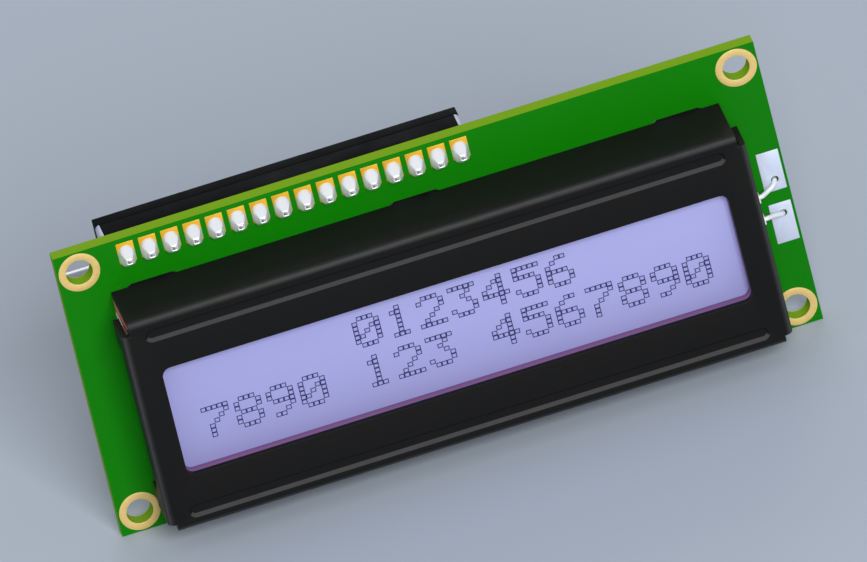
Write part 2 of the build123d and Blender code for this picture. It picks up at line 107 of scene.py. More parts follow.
# What each finish is made of: the roughness between two limits, the shader's metallic and
# specular, the grain in 1/m and its contrast, the darkest tone as a share of the colour, the bump
FINISHES = {
    "bare_ring_metal": (0.38, 0.5, 0.25, 0.4, 2200.0, 0.6, 0.94, 0.2),
    "pad_gold": (0.3, 0.42, 0.3, 0.5, 2600.0, 0.6, 0.93, 0.2),
    "bright_solder": (0.28, 0.4, 0.45, 0.5, 2000.0, 0.5, 0.97, 0.2),
    "socket_moulding": (0.5, 0.66, 0.0, 0.03, 3500.0, 0.8, 0.8, 0.35),
    "end_cap_moulding": (0.4, 0.55, 0.0, 0.4, 3000.0, 0.6, 0.95, 0.2),
    "contact_plating": (0.25, 0.38, 0.9, 0.5, 2500.0, 0.5, 0.95, 0.15),
    "satin_black_coating": (0.4, 0.52, 0.0, 0.06, 4200.0, 0.8, 0.84, 0.3),
    # The second bezel finish: the same satin black, with the folds mixed towards the worn grey as a
    # painted highlight
    "fold_highlight_coating": (0.4, 0.52, 0.0, 0.06, 4200.0, 0.8, 0.84, 0.3),
    "lilac_polarizer": (0.4, 0.5, 0.0, 0.25, 900.0, 0.4, 0.985, 0.03),
    "mauve_lining": (0.6, 0.75, 0.0, 0.3, 2600.0, 0.7, 0.92, 0.3),
    "seal_epoxy": (0.4, 0.6, 0.0, 0.4, 1800.0, 0.8, 0.9, 0.3),
    "dot_outline": (0.4, 0.5, 0.0, 0.25, 900.0, 0.4, 0.95, 0.05),
    "dot_core": (0.4, 0.5, 0.0, 0.25, 900.0, 0.4, 0.98, 0.05),
    "white_moulding": (0.4, 0.55, 0.0, 0.5, 2500.0, 0.5, 0.97, 0.2),
    "reflector_film": (0.15, 0.25, 0.0, 0.5, 1200.0, 0.4, 0.97, 0.05),
    "frosted_film": (0.7, 0.85, 0.0, 0.4, 5000.0, 0.6, 0.96, 0.3),
    "led_strip_board": (0.4, 0.5, 0.0, 0.4, 1800.0, 0.6, 0.94, 0.2),
    "led_phosphor": (0.3, 0.42, 0.0, 0.5, 2600.0, 0.6, 0.93, 0.2),
    "tinned_wire": (0.26, 0.4, 0.4, 0.5, 2600.0, 0.5, 0.97, 0.12),
    "tinned_pad": (0.4, 0.55, 0.2, 0.4, 1600.0, 0.6, 0.95, 0.25),
    "lead_solder_metal": (0.28, 0.4, 0.8, 0.5, 2000.0, 0.5, 0.96, 0.2),
    "black_resin": (0.16, 0.3, 0.0, 0.5, 900.0, 0.8, 0.8, 0.5),
    "silicon": (0.12, 0.2, 0.6, 0.5, 3000.0, 0.5, 0.9, 0.05),
    "resistor_glaze": (0.25, 0.38, 0.0, 0.5, 3000.0, 0.7, 0.85, 0.2),
    "capacitor_ceramic": (0.5, 0.65, 0.0, 0.4, 2600.0, 0.8, 0.9, 0.3),
    "chip_end_tin": (0.3, 0.45, 0.85, 0.5, 2600.0, 0.6, 0.95, 0.25),
    "drawn_can_metal": (0.2, 0.28, 0.9, 0.5, 1500.0, 0.5, 0.96, 0.12),
    "plug_glass": (0.2, 0.3, 0.0, 0.5, 2000.0, 0.6, 0.9, 0.1),
    "crystal_lead_tin": (0.25, 0.36, 0.9, 0.5, 2600.0, 0.5, 0.96, 0.1),
}


def place(x, y, z):
    """A point of the lying module, in millimetres, as a point of the upright frame, in metres."""
    return Vector((x * MM, -z * MM, y * MM))


def lying_box(node):
    """Lowest and highest corners of a CAD node on the lying module, in millimetres."""
    low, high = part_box(node)
    return (
        Vector((low.x, low.z, -high.y)) / MM,
        Vector((high.x, high.z, -low.y)) / MM,
    )


# Settings


def colour_property(name, description, default):
    """A colour setting."""
    return FloatVectorProperty(
        name=name, description=description, default=default, size=3, subtype="COLOR", min=0, max=1
    )


def length_property(name, description, default):
    """A length setting, in millimetres."""
    text = description + ", in mm"
    return FloatProperty(name=name, description=text, default=default, min=0, precision=3)


def row_property(name, default):
    """The figures that one row of the display shows."""
    return StringProperty(name=name, description="Figures shown", default=default)


def power_property(name, default):
    """A lamp's power."""
    return FloatProperty(name=name, description="In watts", default=default, unit="POWER", min=0)


class BoardSettings(bpy.types.PropertyGroup):
    """Colours of the board and its bare metal."""

    mask: colour_property("Solder mask", "Green of the board's two faces", (0.0035, 0.18, 0.0006))
    edge: colour_property("Board edge", "Lime of the cut laminate", (0.2, 0.4, 0.003))
    ring: colour_property("Hole rings", "Bare metal round the mounting holes", (0.79, 0.57, 0.2))
    pad: colour_property("Contact pads", "Gold of the sixteen pads", (0.78, 0.43, 0.02))
    edge_round: length_property("Edge rounding", "Radius of the rings' and pads' rims", 0.025)


class SolderSettings(bpy.types.PropertyGroup):
    """Shape and colour of the sixteen solder joints."""

    colour: colour_property("Solder", "Colour of the solder", (0.93, 0.93, 0.94))
    foot_width: length_property("Foot width", "Width at the pad", 1.93)
    foot_length: length_property("Foot length", "Length at the pad", 2.66)
    tip_width: length_property("Tip width", "Width of the square tip", 0.78)
    sides: IntProperty(name="Points round", description="Points in each ring", default=48, min=12)
    rings: IntProperty(name="Rings", description="Rings from foot to tip", default=16, min=4)


class SocketSettings(bpy.types.PropertyGroup):
    """Colours of the socket behind the board."""

    body: colour_property("Socket", "Black moulded body", (0.0032, 0.0032, 0.0033))
    end_cap: colour_property("End caps", "Pale moulded ends", (0.55, 0.55, 0.72))
    contact: colour_property("Contacts", "Plated spring metal", (0.85, 0.84, 0.8))
    edge_round: length_property("Edge rounding", "Radius of the moulded edges", 0.12)


class BezelSettings(bpy.types.PropertyGroup):
    """Finish of the folded bezel."""

    colour: colour_property("Coating", "Satin black of the bezel", (0.0098, 0.0096, 0.0095))
    # The worn grey is real wear on the sheet's edges, and also the painted highlight on the folds
    # and on the grooves' upward walls
    worn_and_highlight: colour_property("Worn edge", "Grey where the coating is rubbed", (0.055, 0.055, 0.056))
    # How far back from the front the painted highlight on the folds reaches
    fold_highlight_reach: length_property("Fold reach", "Depth of the rubbed folds from the front", 1.0)
    groove_start: length_property("Groove start", "Nearest a groove comes to the middle", 9.0)
    ear_drop: length_property("Upper ear drop", "How much lower the upper ears end", 0.33)
    ear_trim: length_property("Upper ear trim", "How much shorter the upper ears are", 0.5)
    tab_spacing: length_property("Tab spacing", "From one locking tab to the next", 30.0)
    tab_width: length_property("Tab width", "Width of a locking tab", 3.6)
    root_flare: length_property("Tab root flare", "Added to each side of a tab's root", 0.8)
    edge_round: length_property("Edge rounding", "Radius of the sheet's edges", 0.1)


class DisplaySettings(bpy.types.PropertyGroup):
    """Colours of the display and the places of its figures."""

    screen: colour_property("Screen", "Lilac of the display's surface", (0.352, 0.356, 0.665))
    dot_line: colour_property("Dot outline", "Dark blue round each dot", (0.028, 0.029, 0.125))
    dot_core: colour_property("Dot", "Lilac inside each dot", (0.32, 0.325, 0.62))
    wall: colour_property("Window wall", "Mauve of the window's lining", (0.215, 0.1, 0.24))
    upper_row: row_property("Upper row", "     0123456")
    lower_row: row_property("Lower row", "7890 123 4567890")
    first_x: length_property("First dot", "Leftmost dot's distance left of centre", 28.75)
    upper_y: length_property("Upper row top", "Top dot of the upper row", 3.13)
    row_pitch: length_property("Row pitch", "From one row to the next", 5.16)
    figure_pitch: length_property("Figure pitch", "From one figure to the next", 3.656)
    dot_pitch_x: length_property("Dot pitch across", "From one dot to the next", 0.615)
    dot_pitch_y: length_property("Dot pitch down", "From one dot to the next", 0.565)
    dot_wall: length_property("Outline width", "Width of each dot's outline", 0.1)


class BacklightSettings(bpy.types.PropertyGroup):
    """Colours of the backlight and its two leads."""

    case: colour_property("Case", "White moulded tray", (0.88, 0.88, 0.89))
    lead: colour_property("Leads", "Tinned wire", (0.93, 0.94, 0.97))
    pad: colour_property("Lead pads", "Tinned pads at the board's right edge", (0.66, 0.72, 0.88))
    strip: colour_property("Elastomer strips", "Salmon rubber", (0.86, 0.22, 0.2))
    strip_end_gap: length_property("Strip end gap", "Kept free at each end of a strip", 0.16)
    lead_diameter: length_property("Lead diameter", "Of the round wire", 0.56)


class BackSettings(bpy.types.PropertyGroup):
    """Shape and colours of what is on the board's back."""

    resin: colour_property("Resin", "Black resin over the chips", (0.009, 0.009, 0.01))
    resistor: colour_property("Resistors", "Dark glaze", (0.014, 0.014, 0.016))
    capacitor: colour_property("Capacitors", "Fired ceramic", (0.4, 0.25, 0.13))
    tin: colour_property("Chip ends", "Tinned ends", (0.8, 0.8, 0.82))
    can: colour_property("Crystal can", "Bright drawn metal", (0.4, 0.41, 0.43))
    blob_height: length_property("Blob height", "Height of the resin domes", 1.68)


class StageSettings(bpy.types.PropertyGroup):
    """Floor, light and camera."""

    floor: colour_property("Floor", "Pale plain floor", (0.45, 0.51, 0.6))
    sky: colour_property("Surroundings", "Pale room light", (0.88, 0.88, 0.89))
    key_power: power_property("Main lamp", 22.0)
    fill_power: power_property("Side lamp", 1.0)
    back_power: power_property("Back lamp", 3.6)
    room: FloatProperty(name="Room light", description="Strength of the room", default=0.44, min=0)
    view_width: length_property("View width", "Width of the picture", 94.14)


class ModuleSettings(bpy.types.PropertyGroup):
    """All settings of the module."""

    board: PointerProperty(type=BoardSettings)
    solder: PointerProperty(type=SolderSettings)
    socket: PointerProperty(type=SocketSettings)
    bezel: PointerProperty(type=BezelSettings)
    display: PointerProperty(type=DisplaySettings)
    backlight: PointerProperty(type=BacklightSettings)
    back: PointerProperty(type=BackSettings)
    stage: PointerProperty(type=StageSettings)


# Shader node groups, each built once and placed in every material that uses it


def new_group(name, inputs, outputs):
    """An empty node group with number inputs (name, default) and number outputs."""
    group = bpy.data.node_groups.new(name, "ShaderNodeTree")
    for label, default in inputs:
        socket = group.interface.new_socket(label, in_out="INPUT", socket_type="NodeSocketFloat")
        socket.default_value = default
    for label in outputs:
        group.interface.new_socket(label, in_out="OUTPUT", socket_type="NodeSocketFloat")
    return group, group.nodes.new("NodeGroupInput"), group.nodes.new("NodeGroupOutput")


def add_math(tree, operation, first, second=None, clamp=False):
    """A math node whose two inputs are sockets or numbers. Returns its output."""
    node = tree.nodes.new("ShaderNodeMath")
    node.operation = operation
    node.use_clamp = clamp
    for socket, value in zip(node.inputs, (first, second)):
        if isinstance(value, bpy.types.NodeSocket):
            tree.links.new(value, socket)
        elif value is not None:
            socket.default_value = value
    return node.outputs[0]


def times(tree, first, second, clamp=False):
    """Multiplies two sockets or numbers."""
    return add_math(tree, "MULTIPLY", first, second, clamp)


def own_spot(tree):
    """The place on the piece, in its own coordinates."""
    return tree.nodes.new("ShaderNodeTexCoord").outputs["Object"]


def add_noise(tree, scale, detail, roughness):
    """Noise over the piece's own coordinates, in 1/m. Returns its value."""
    noise = tree.nodes.new("ShaderNodeTexNoise")
    noise.inputs["Detail"].default_value = detail
    noise.inputs["Roughness"].default_value = roughness
    tree.links.new(own_spot(tree), noise.inputs["Vector"])
    if isinstance(scale, bpy.types.NodeSocket):
        tree.links.new(scale, noise.inputs["Scale"])
    else:
        noise.inputs["Scale"].default_value = scale
    return noise.outputs["Fac"]


def axes_of(tree, vector):
    """The parts of a vector socket along X, Y and Z."""
    parts = tree.nodes.new("ShaderNodeSeparateXYZ")
    tree.links.new(vector, parts.inputs[0])
    return parts.outputs


def normal_axes(tree):
    """The parts of the surface's normal along X, Y and Z."""
    return axes_of(tree, tree.nodes.new("ShaderNodeNewGeometry").outputs["Normal"])


def end_mask(tree, given, out, value):
    """Ends a mask group: a value times the amount, between 0 and 1."""
    scaled = times(tree, value, given.outputs["Amount"], clamp=True)
    tree.links.new(scaled, out.inputs["Mask"])
    return tree


def make_grain_group():
    """Fine grain: a value round one half for tone, and a height for bump."""
    inputs = [("Scale", 3000.0), ("Contrast", 1.0)]
    tree, given, out = new_group("fine_grain", inputs, ["Value", "Height"])
    fine = add_noise(tree, given.outputs["Scale"], 4.0, 0.6)
    centred = add_math(tree, "SUBTRACT", fine, 0.5)
    spread = times(tree, centred, given.outputs["Contrast"])
    tree.links.new(add_math(tree, "ADD", spread, 0.5, clamp=True), out.inputs["Value"])
    tree.links.new(fine, out.inputs["Height"])
    return tree


def make_smudge_group():
    """Broad handling marks: a roughness between two limits."""
    inputs = [("Scale", 180.0), ("Low", 0.3), ("High", 0.5)]
    tree, given, out = new_group("smudges", inputs, ["Roughness"])
    broad = add_noise(tree, given.outputs["Scale"], 3.0, 0.65)
    ramp = tree.nodes.new("ShaderNodeMapRange")
    ramp.inputs["From Min"].default_value = 0.32
    ramp.inputs["From Max"].default_value = 0.68
    tree.links.new(broad, ramp.inputs["Value"])
    tree.links.new(given.outputs["Low"], ramp.inputs["To Min"])
    tree.links.new(given.outputs["High"], ramp.inputs["To Max"])
    tree.links.new(ramp.outputs["Result"], out.inputs["Roughness"])
    return tree


def make_wear_group():
    """Edge wear: a mask that is high on rubbed outer edges and broken up by noise."""
    inputs = [("Radius", 0.00012), ("Amount", 1.0)]
    tree, given, out = new_group("edge_wear", inputs, ["Mask"])
    soft = tree.nodes.new("ShaderNodeBevel")
    soft.samples = 4
    tree.links.new(given.outputs["Radius"], soft.inputs["Radius"])
    shape = tree.nodes.new("ShaderNodeNewGeometry")
    dot = tree.nodes.new("ShaderNodeVectorMath")
    dot.operation = "DOT_PRODUCT"
    tree.links.new(soft.outputs["Normal"], dot.inputs[0])
    tree.links.new(shape.outputs["Normal"], dot.inputs[1])
    bend = add_math(tree, "SUBTRACT", 1.0, dot.outputs["Value"])
    broken = times(tree, times(tree, bend, 6.0), add_noise(tree, 900.0, 4.0, 0.7))
    return end_mask(tree, given, out, broken)


def make_fold_highlight_group():
    """Painted highlight on the folds: a mask that is high where a smooth surface turns between two
    flat sides, broken up a little by noise.
    """
    tree, given, out = new_group("painted_fold_highlight", [("Amount", 1.0)], ["Mask"])
    normal = normal_axes(tree)
    x, y, z = [add_math(tree, "ABSOLUTE", normal[axis]) for axis in ("X", "Y", "Z")]
    steepest = add_math(tree, "MAXIMUM", add_math(tree, "MAXIMUM", x, y), z)
    turn = times(tree, add_math(tree, "SUBTRACT", 1.0, steepest), 3.4)
    spots = times(tree, add_noise(tree, 700.0, 4.0, 0.7), 0.5)
    return end_mask(tree, given, out, times(tree, turn, add_math(tree, "ADD", spots, 0.75)))


def make_dust_group():
    """Settled dust: a mask on faces that look up, in soft patches."""
    tree, given, out = new_group("dust", [("Amount", 0.1)], ["Mask"])
    facing_up = add_math(tree, "MAXIMUM", normal_axes(tree)["Z"], 0.0)
    return end_mask(tree, given, out, times(tree, add_noise(tree, 420.0, 5.0, 0.7), facing_up))


def make_layers_group():
    """Thin parallel layers: a mask that repeats at a pitch, in metres, along X or Y."""
    inputs = [("Pitch", 0.0002), ("Along X", 0.0), ("Along Y", 1.0)]
    tree, given, out = new_group("thin_layers", inputs, ["Mask"])
    spot = axes_of(tree, own_spot(tree))
    along_x = times(tree, spot["X"], given.outputs["Along X"])
    along_y = times(tree, spot["Y"], given.outputs["Along Y"])
    travel = add_math(tree, "ADD", along_x, along_y)
    turns = add_math(tree, "DIVIDE", travel, given.outputs["Pitch"])
    half = times(tree, add_math(tree, "SINE", times(tree, turns, 2 * math.pi)), 0.5)
    tree.links.new(add_math(tree, "ADD", half, 0.5, clamp=True), out.inputs["Mask"])
    return tree


groups = {}


def build_groups():
    """Makes every shared node group."""
    groups.update(
        grain=make_grain_group(),
        smudges=make_smudge_group(),
        wear=make_wear_group(),
        folds=make_fold_highlight_group(),
        dust=make_dust_group(),
        layers=make_layers_group(),
    )


def use_group(tree, name, **values):
    """Places a shared group in a material, with its own values."""
    node = tree.nodes.new("ShaderNodeGroup")
    node.node_tree = groups[name]
    for label, value in values.items():
        node.inputs[label.replace("_", " ")].default_value = value
    return node


def mix_colours(tree, factor, first, second):
    """Mixes two colours, given as sockets or RGB values. Returns the result."""
    node = tree.nodes.new("ShaderNodeMix")
    node.data_type = "RGBA"
    inputs = (node.inputs[0], node.inputs[6], node.inputs[7])
    for socket, value in zip(inputs, (factor, first, second)):
        if isinstance(value, bpy.types.NodeSocket):
            tree.links.new(value, socket)
        elif isinstance(value, float):
            socket.default_value = value
        else:
            socket.default_value = (*value, 1.0)
    return node.outputs[2]


def tone(colour, share):
    """A colour made darker or lighter by a share."""
    return tuple(min(1.0, c * share) for c in colour)


def start_material(name):
    """A material with its node tree and Principled shader."""
    material = bpy.data.materials.new(name)
    material.use_nodes = True
    tree = material.node_tree
    return material, tree, tree.nodes["Principled BSDF"]


def add_marks(tree, shader, low, high, scale=180.0):
    """Handling marks: the shader's roughness varies between two limits."""
    marks = use_group(tree, "smudges", Scale=scale, Low=low, High=high)
    tree.links.new(marks.outputs["Roughness"], shader.inputs["Roughness"])


def add_grain(tree, scale, contrast, dark, light):
    """A grain group and the colour that it mixes from a dark and a light one."""
    grain = use_group(tree, "grain", Scale=scale, Contrast=contrast)
    return grain, mix_colours(tree, grain.outputs["Value"], dark, light)


def add_relief(tree, shader, grain, strength):
    """Fine bumps in the shader's normal, from a grain group."""
    relief = tree.nodes.new("ShaderNodeBump")
    relief.inputs["Strength"].default_value = strength
    relief.inputs["Distance"].default_value = GRAIN_DEPTH
    tree.links.new(grain.outputs["Height"], relief.inputs["Height"])
    tree.links.new(relief.outputs["Normal"], shader.inputs["Normal"])


def surface(name, colour, worn_and_highlight=None, wear=0.0, folds=0.0, dust=0.0):
    """A finish with fine grain, handling marks, and where asked rubbed edges, a painted highlight
    on the folds, and dust.
    """
    low, high, metallic, specular, scale, contrast, darkest, bump = FINISHES[name]
    material, tree, shader = start_material(name)
    shader.inputs["Metallic"].default_value = metallic
    shader.inputs["Specular IOR Level"].default_value = specular
    grain, result = add_grain(
        tree, scale, contrast, tone(colour, darkest), tone(colour, 2 - darkest)
    )
    # The folds layer mixes in the worn grey as a painted highlight; the wear and dust layers are
    # real wear and dust
    layers = (("wear", wear, worn_and_highlight), ("folds", folds, worn_and_highlight), ("dust", dust, DUST_COLOUR))
    for group, amount, over in layers:
        if amount:
            mask = use_group(tree, group, Amount=amount)
            result = mix_colours(tree, mask.outputs["Mask"], result, over)
    tree.links.new(result, shader.inputs["Base Color"])
    add_marks(tree, shader, low, high)
    add_relief(tree, shader, grain, bump)
    return material


def clear_material(name, colour, ior, low, high):
    """Clear glass or acrylic with faint marks."""
    material, tree, shader = start_material(name)
    shader.inputs["Metallic"].default_value = 0.0
    shader.inputs["Transmission Weight"].default_value = 1.0
    shader.inputs["IOR"].default_value = ior
    shade = add_grain(tree, 700.0, 0.4, tone(colour, 0.96), colour)[1]
    tree.links.new(shade, shader.inputs["Base Color"])
    add_marks(tree, shader, low, high)
    return material


def board_material(board):
    """Green solder mask on the two faces, and lime laminate with its layers on every cut."""
    material, tree, shader = start_material("solder_mask_and_laminate")
    facing = add_math(tree, "ABSOLUTE", normal_axes(tree)["Y"])
    flat = add_math(tree, "GREATER_THAN", facing, 0.7)
    grain = use_group(tree, "grain", Scale=1400.0, Contrast=0.7)
    value = grain.outputs["Value"]
    cloud = times(tree, add_noise(tree, 140.0, 3.0, 0.6), 0.25)
    mask = mix_colours(tree, value, tone(board.mask, 0.93), tone(board.mask, 1.07))
    mask = mix_colours(tree, cloud, mask, tone(board.mask, 1.25))
    layers = use_group(tree, "layers", Pitch=0.0002, Along_Y=1.0)
    cut = mix_colours(tree, layers.outputs["Mask"], tone(board.edge, 0.82), tone(board.edge, 1.12))
    cut = mix_colours(tree, value, cut, tone(board.edge, 0.9))
    tree.links.new(mix_colours(tree, flat, cut, mask), shader.inputs["Base Color"])
    marks = use_group(tree, "smudges", Scale=160.0, Low=0.34, High=0.46)
    rough = tree.nodes.new("ShaderNodeMix")
    tree.links.new(flat, rough.inputs[0])
    rough.inputs[2].default_value = 0.75
    tree.links.new(marks.outputs["Roughness"], rough.inputs[3])
    tree.links.new(rough.outputs[0], shader.inputs["Roughness"])
    shader.inputs["Specular IOR Level"].default_value = 0.12
    add_relief(tree, shader, grain, 0.12)
    return material


def elastomer_material(name, colour):
    """Salmon silicone rubber with fine darker conducting layers across the strip."""
    material, tree, shader = start_material(name)
    layers = use_group(tree, "layers", Pitch=0.0003, Along_X=1.0, Along_Y=0.0)
    striped = mix_colours(tree, layers.outputs["Mask"], colour, tone(colour, 0.82))
    grain, striped = add_grain(tree, 2500.0, 0.8, striped, tone(colour, 0.94))
    tree.links.new(striped, shader.inputs["Base Color"])
    add_marks(tree, shader, 0.55, 0.7)
    add_relief(tree, shader, grain, 0.2)
    return material


# Mesh tools


def add_piece(mesh, name, nodes):
    """Puts a mesh or curve in the scene as a piece of the module."""
    piece = bpy.data.objects.new(name, mesh)
    bpy.context.scene.collection.objects.link(piece)
    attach(piece, "root")
    if nodes:
        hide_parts(*nodes)
    return piece


def add_shape(name, shape, material, nodes=(), smooth=True):
    """A new piece from its points on the lying module and its faces."""
    points, faces = shape
    mesh = bpy.data.meshes.new(name)
    mesh.from_pydata([place(*p) for p in points], [], faces)
    draft = bmesh.new()
    draft.from_mesh(mesh)
    bmesh.ops.recalc_face_normals(draft, faces=draft.faces)
    draft.to_mesh(mesh)
    draft.free()
    mesh.materials.append(material)
    mesh.polygons.foreach_set("use_smooth", [smooth] * len(mesh.polygons))
    return add_piece(mesh, name, nodes)


def welded(node):
    """A copy of a CAD node's mesh with its faces joined at their shared points."""
    shape = bmesh.new()
    shape.from_mesh(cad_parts[node].data)
    bmesh.ops.remove_doubles(shape, verts=shape.verts, dist=WELD)
    return shape


def dress(node, material, edge_round, segments=2):
    """A piece with softly rounded edges that stands for a CAD node, made from its outline."""
    shape = welded(node)
    for face in shape.faces:
        face.smooth = True
    mesh = bpy.data.meshes.new(node + "_outline")
    shape.to_mesh(mesh)
    shape.free()
    draft = bpy.data.objects.new(node + "_outline", mesh)
    bpy.context.scene.collection.objects.link(draft)
    rounding = draft.modifiers.new("Rounded edges", "BEVEL")
    rounding.width = edge_round * MM
    rounding.segments = segments
    rounding.limit_method = "ANGLE"
    rounding.angle_limit = ROUNDED_ABOVE
    rounding.harden_normals = True
    rounding.miter_outer = "MITER_ARC"
    depsgraph = bpy.context.evaluated_depsgraph_get()
    finished = bpy.data.meshes.new_from_object(draft.evaluated_get(depsgraph))
    bpy.data.objects.remove(draft)
    finished.name = node + "_finished"
    finished.materials.clear()
    finished.materials.append(material)
    return add_piece(finished, node + "_finished", [node])


def paint(node, material):
    """Gives a CAD node that keeps its shape its finish."""
    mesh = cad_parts[node].data
    mesh.materials.clear()
    mesh.materials.append(material)


def round_angles(sides):
    """The angles of the points in a ring."""
    return [2 * math.pi * i / sides for i in range(sides)]


def band_faces(points, sides):
    """Faces between rings of points that follow one another."""
    faces = []
    for start in range(0, len(points) - sides, sides):
        above = start + sides
        for i in range(sides):
            j = (i + 1) % sides
            faces.append((start + i, start + j, above + j, above + i))
    return faces


def tube_faces(points, sides):
    """The same faces with the first and the last ring closed."""
    ends = [tuple(range(sides)), tuple(range(len(points) - sides, len(points)))]
    return band_faces(points, sides) + ends


def turned(profile, sides, centre, towards_back=False):
    """Points and faces of a closed turned shape, from (radius, height) pairs along its axis."""
    sign = -1 if towards_back else 1
    points = []
    for radius, height in profile:
        for a in round_angles(sides):
            x, y = centre[0] + radius * math.cos(a), centre[1] + radius * math.sin(a)
            points.append((x, y, centre[2] + sign * height))
    return points, tube_faces(points, sides)


def join_shapes(shapes):
    """Several (points, faces) pairs as one."""
    points = []
    faces = []
    for more_points, more_faces in shapes:
        offset = len(points)
        points += more_points
        faces += [tuple(i + offset for i in face) for face in more_faces]
    return points, faces


def wire(name, runs, diameter, material, nodes):
    """Round wires, one for each run of points, as one curve piece."""
    curve = bpy.data.curves.new(name, "CURVE")
    curve.dimensions = "3D"
    curve.bevel_depth = diameter / 2 * MM
    curve.bevel_resolution = 6
    curve.resolution_u = 10
    curve.use_fill_caps = True
    for run in runs:
        spline = curve.splines.new("NURBS")
        spline.points.add(len(run) - 1)
        for point, target in zip(spline.points, run):
            point.co = (*place(*target), 1.0)
        spline.order_u = 3
        spline.use_endpoint_u = True
    curve.materials.append(material)
    return add_piece(curve, name, nodes)


def node_centres(node):
    """Centres across the board of a node's separate solids, from left to right."""
    shape = welded(node)
    left = set(shape.verts)
    centres = []
    while left:
        island = {left.pop()}
        front = list(island)
        while front:
            vert = front.pop()
            for edge in vert.link_edges:
                other = edge.other_vert(vert)
                if other in left:
                    left.discard(other)
                    island.add(other)
                    front.append(other)
        xs = [v.co.x for v in island]
        ys = [v.co.z for v in island]
        centres.append(((min(xs) + max(xs)) / 2 / MM, (min(ys) + max(ys)) / 2 / MM))
    shape.free()
    return sorted(centres)


# Operators, one for each piece or group of like pieces


class DISPLAYMODULE_OT_stage(bpy.types.Operator):
    """Adds the camera, the pale floor, the soft lamps and the room light"""

    bl_idname = "display_module.stage"
    bl_label = "Stage"

    def execute(self, context):
        stage = context.scene.display_module.stage
        scene = context.scene
        scene.view_settings.view_transform = "Standard"

        right = CAMERA_RIGHT.normalized()
        up = CAMERA_UP.normalized()
        towards = right.cross(up).normalized()
        up = towards.cross(right)
        camera_data = bpy.data.cameras.new("camera")
        camera_data.type = "ORTHO"
        camera_data.ortho_scale = stage.view_width * MM
        camera_data.clip_start = 0.01
        camera_data.clip_end = 20.0
        camera = bpy.data.objects.new("camera", camera_data)
        scene.collection.objects.link(camera)
        centre = (PICTURE_MIDDLE[0] * right + PICTURE_MIDDLE[1] * up) * MM
        turn = Matrix((right, up, towards)).transposed().to_4x4()
        camera.matrix_world = Matrix.Translation(centre + CAMERA_DISTANCE * towards) @ turn
        scene.camera = camera

        material, tree, shader = start_material("pale_floor")
        shade = add_grain(tree, 60.0, 0.3, tone(stage.floor, 0.99), tone(stage.floor, 1.01))[1]
        tree.links.new(shade, shader.inputs["Base Color"])
        add_marks(tree, shader, 0.8, 0.9, 20.0)
        shader.inputs["Specular IOR Level"].default_value = 0.1
        low = cad_bounds[0][2]
        mesh = bpy.data.meshes.new("floor")
        corners = [(FLOOR_HALF * i, FLOOR_HALF * j, low) for i, j in CORNERS]
        mesh.from_pydata(corners, [], [(0, 1, 2, 3)])
        mesh.materials.append(material)
        floor = bpy.data.objects.new("floor", mesh)
        scene.collection.objects.link(floor)

        self.add_lamp(scene, "main_lamp", (0.12, -1.4, 0.82), 0.7, stage.key_power)
        self.add_lamp(scene, "side_lamp", (-1.1, -0.6, 0.5), 0.8, stage.fill_power)
        self.add_lamp(scene, "back_lamp", (0.15, 1.15, 0.72), 0.8, stage.back_power)
        self.light_room(scene, stage)
        return {"FINISHED"}

    def add_lamp(self, scene, name, where, size, power):
        """A square soft lamp that points at the module."""
        lamp_data = bpy.data.lights.new(name, "AREA")
        lamp_data.shape = "SQUARE"
        lamp_data.size = size
        lamp_data.energy = power
        lamp = bpy.data.objects.new(name, lamp_data)
        lamp.location = where
        lamp.rotation_euler = (-Vector(where)).to_track_quat("-Z", "Y").to_euler()
        scene.collection.objects.link(lamp)

    def light_room(self, scene, stage):
        """Even room light, and a plain pale room where the camera, metal or glass shows it."""
        world = bpy.data.worlds.new("room")
        scene.world = world
        world.use_nodes = True
        tree = world.node_tree
        tree.nodes.clear()
        path = tree.nodes.new("ShaderNodeLightPath").outputs
        seen = add_math(tree, "ADD", path["Is Camera Ray"], path["Is Transmission Ray"])
        seen = add_math(tree, "ADD", seen, path["Is Glossy Ray"], clamp=True)
        mix = tree.nodes.new("ShaderNodeMixShader")
        tree.links.new(seen, mix.inputs[0])
        tree.links.new(self.background(tree, stage.sky, stage.room), mix.inputs[1])
        tree.links.new(self.background(tree, stage.floor, 1.0), mix.inputs[2])
        out = tree.nodes.new("ShaderNodeOutputWorld")
        tree.links.new(mix.outputs[0], out.inputs["Surface"])

    def background(self, tree, colour, strength):
        """A background of one colour. Returns its output."""
        node = tree.nodes.new("ShaderNodeBackground")
        node.inputs["Color"].default_value = (*colour, 1.0)
        node.inputs["Strength"].default_value = strength
        return node.outputs[0]


class DISPLAYMODULE_OT_board(bpy.types.Operator):
    """Finishes the circuit board, the rings round its mounting holes and its gold pads"""

    bl_idname = "display_module.board"
    bl_label = "Circuit board"

    def execute(self, context):
        board = context.scene.display_module.board
        paint("circuit_board", board_material(board))
        ring = surface("bare_ring_metal", board.ring, dust=0.1)
        gold = surface("pad_gold", board.pad)
        for side in ("front", "back"):
            dress("mounting_rings_" + side, ring, board.edge_round)
            dress("pin_pads_" + side, gold, board.edge_round)
        return {"FINISHED"}


